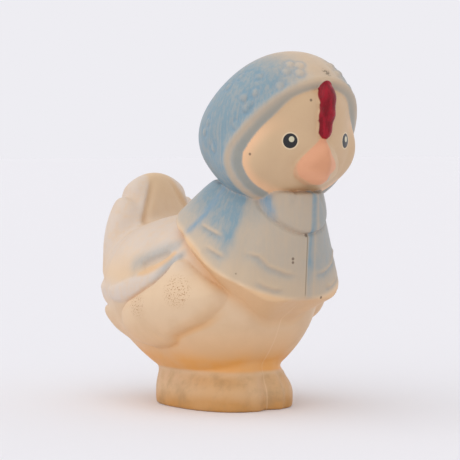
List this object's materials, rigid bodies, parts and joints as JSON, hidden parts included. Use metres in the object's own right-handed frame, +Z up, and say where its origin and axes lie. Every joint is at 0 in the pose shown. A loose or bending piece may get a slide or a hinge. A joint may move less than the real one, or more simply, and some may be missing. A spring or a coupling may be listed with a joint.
{
  "type": "chicken figurine",
  "caption": "Hollow rubber squeak toy moulded as a hen in a headscarf and cape, standing on one foot plinth, with a reed squeaker pressed through its sole.",
  "frame": {"origin": "on the floor, under the middle of the whole toy", "axes": "+Z up; the hen faces -Y; +X is the hen's own left; the parting plane is X = 0"},
  "size_m": [0.078, 0.1238, 0.1387],
  "materials": {
    "rubber_skin": "satin cream rubber with sprayed pale blue, red and salmon paint",
    "tinplate": "dull rolled tinplate",
    "ivory_plastic": "moulded, satin",
    "reed_brass": "bright sheet brass"
  },
  "bodies": {
    "toy": {"skin_left": "rubber_skin", "skin_right": "rubber_skin", "squeaker_barrel": "tinplate", "squeaker_grille": "tinplate", "reed_block": "ivory_plastic", "reed_wedge": "ivory_plastic"},
    "reed": {"reed": "reed_brass"}
  },
  "joints": [
    {"name": "reed_flutter", "type": "hinge", "parent": "toy", "child": "reed", "pos_m": [0, 0.00314, 0.0106], "axis": [1, 0, 0], "range_deg": [0, 3.2], "stiffness_Nm_per_rad": 0.001}
  ]
}
